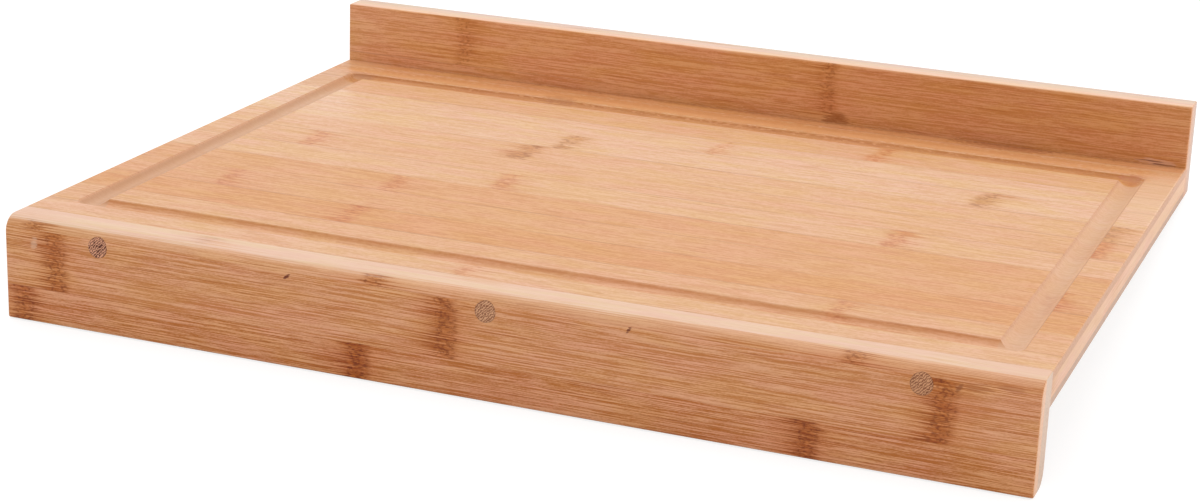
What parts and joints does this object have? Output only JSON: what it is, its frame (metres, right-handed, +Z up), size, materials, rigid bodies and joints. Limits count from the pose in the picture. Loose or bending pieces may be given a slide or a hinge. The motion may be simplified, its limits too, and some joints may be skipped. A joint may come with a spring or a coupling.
{
  "type": "worktop cutting board",
  "caption": "Bamboo cutting board pressed from glued strips, with a juice groove, a front lip that hooks over a worktop edge and a rear upstand, both fixed with through dowels.",
  "frame": {"origin": "centre of the panel's underside, the face that lies on the worktop", "axes": "+X to the right along the lip, +Y from the lip to the upstand, +Z up out of the cutting face"},
  "size_m": [0.5, 0.378, 0.085],
  "materials": {
    "bamboo_panel_face": "oiled, fine sanded",
    "bamboo_panel_inner": "oiled, fine sanded",
    "bamboo_lip": "oiled, fine sanded",
    "bamboo_upstand": "oiled, fine sanded",
    "bamboo_dowel": "sanded end grain"
  },
  "bodies": {
    "root": {"front_dowel_left": "bamboo_dowel", "front_dowel_middle": "bamboo_dowel", "front_dowel_right": "bamboo_dowel", "lip_back_strip_1": "bamboo_lip", "lip_back_strip_2": "bamboo_lip", "lip_back_strip_3": "bamboo_lip", "lip_core_strip_1": "bamboo_lip", "lip_core_strip_2": "bamboo_lip", "lip_front_strip_1": "bamboo_lip", "lip_front_strip_2": "bamboo_lip", "lip_front_strip_3": "bamboo_lip", "panel_bottom_strip_01": "bamboo_panel_inner", "panel_bottom_strip_02": "bamboo_panel_inner", "panel_bottom_strip_03": "bamboo_panel_inner", "panel_bottom_strip_04": "bamboo_panel_inner", "panel_bottom_strip_05": "bamboo_panel_inner", "panel_bottom_strip_06": "bamboo_panel_inner", "panel_bottom_strip_07": "bamboo_panel_inner", "panel_bottom_strip_08": "bamboo_panel_inner", "panel_bottom_strip_09": "bamboo_panel_inner", "panel_bottom_strip_10": "bamboo_panel_inner", "panel_bottom_strip_11": "bamboo_panel_inner", "panel_bottom_strip_12": "bamboo_panel_inner", "panel_bottom_strip_13": "bamboo_panel_inner", "panel_core_strips": "bamboo_panel_inner", "panel_top_strip_01": "bamboo_panel_face", "panel_top_strip_02": "bamboo_panel_face", "panel_top_strip_03": "bamboo_panel_face", "panel_top_strip_04": "bamboo_panel_face", "panel_top_strip_05": "bamboo_panel_face", "panel_top_strip_06": "bamboo_panel_face", "panel_top_strip_07": "bamboo_panel_face", "panel_top_strip_08": "bamboo_panel_face", "panel_top_strip_09": "bamboo_panel_face", "panel_top_strip_10": "bamboo_panel_face", "panel_top_strip_11": "bamboo_panel_face", "panel_top_strip_12": "bamboo_panel_face", "panel_top_strip_13": "bamboo_panel_face", "rear_dowel_left": "bamboo_dowel", "rear_dowel_middle": "bamboo_dowel", "rear_dowel_right": "bamboo_dowel", "upstand_back_strip_1": "bamboo_upstand", "upstand_back_strip_2": "bamboo_upstand", "upstand_core_strip_1": "bamboo_upstand", "upstand_core_strip_2": "bamboo_upstand", "upstand_front_strip_1": "bamboo_upstand", "upstand_front_strip_2": "bamboo_upstand"}
  },
  "joints": []
}
